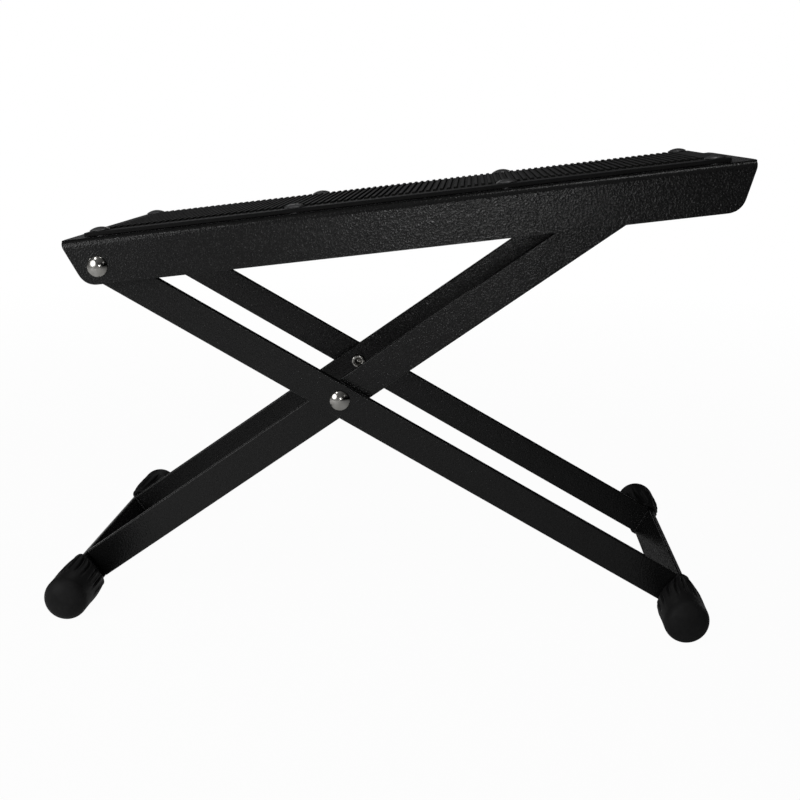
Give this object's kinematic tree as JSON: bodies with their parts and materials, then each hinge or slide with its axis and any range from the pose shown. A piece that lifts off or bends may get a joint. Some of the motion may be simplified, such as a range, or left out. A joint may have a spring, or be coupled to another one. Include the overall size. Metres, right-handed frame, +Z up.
{
  "type": "guitar footrest",
  "caption": "Folding height-adjustable footrest: a slanted channel tray with a ribbed rubber mat on crossed strip-steel legs with capped feet.",
  "frame": {"origin": "on the floor, under the middle of the object's bounding box, as it stands at this height setting", "axes": "+Z up; +X along the tray towards its high end; +Y across, towards the side named left"},
  "size_m": [0.2839, 0.171, 0.1913],
  "materials": {
    "black_coating": "black powder coat, fine orange peel, satin",
    "rubber": "black moulded rubber, matte with a slight sheen",
    "bright_steel": "bright nickel plating",
    "dark_rivet": "black lacquered rivet heads, semi-gloss"
  },
  "bodies": {
    "outer_frame": {"outer_foot_bar": "black_coating", "outer_leg_right": "black_coating", "outer_foot_cap_right": "rubber", "scissor_rivet_right": "bright_steel", "scissor_washer_right": "bright_steel", "outer_leg_left": "black_coating", "outer_foot_cap_left": "rubber", "scissor_rivet_left": "bright_steel", "scissor_washer_left": "bright_steel"},
    "inner_frame": {"inner_foot_bar": "black_coating", "height_rod": "bright_steel", "inner_leg_right": "black_coating", "inner_foot_cap_right": "rubber", "inner_leg_left": "black_coating", "inner_foot_cap_left": "rubber"},
    "tray": {"tray_pan": "black_coating", "rubber_mat": "rubber", "height_rack_right": "black_coating", "mat_rivet_right_1": "dark_rivet", "mat_rivet_right_2": "dark_rivet", "mat_rivet_right_3": "dark_rivet", "mat_rivet_right_4": "dark_rivet", "height_rack_left": "black_coating", "mat_rivet_left_1": "dark_rivet", "mat_rivet_left_2": "dark_rivet", "mat_rivet_left_3": "dark_rivet", "mat_rivet_left_4": "dark_rivet", "tray_hinge_rivet_right": "bright_steel", "tray_hinge_spacer_right": "bright_steel", "tray_hinge_rivet_left": "bright_steel", "tray_hinge_spacer_left": "bright_steel"}
  },
  "joints": [
    {"name": "leg_fold", "type": "hinge", "parent": "outer_frame", "child": "inner_frame", "pos_m": [-0.02115, 0, 0.08894], "axis": [0, 1, 0], "range_deg": [0, 61]},
    {"name": "hinge_turn", "type": "hinge", "parent": "outer_frame", "child": "tray", "pos_m": [-0.12018, 0, 0.14378], "axis": [0, 1, 0], "range_deg": [0, 32.4]}
  ],
  "couplings": [
    {"joint": "hinge_turn", "follows": "leg_fold", "ratio": 0.53}
  ]
}
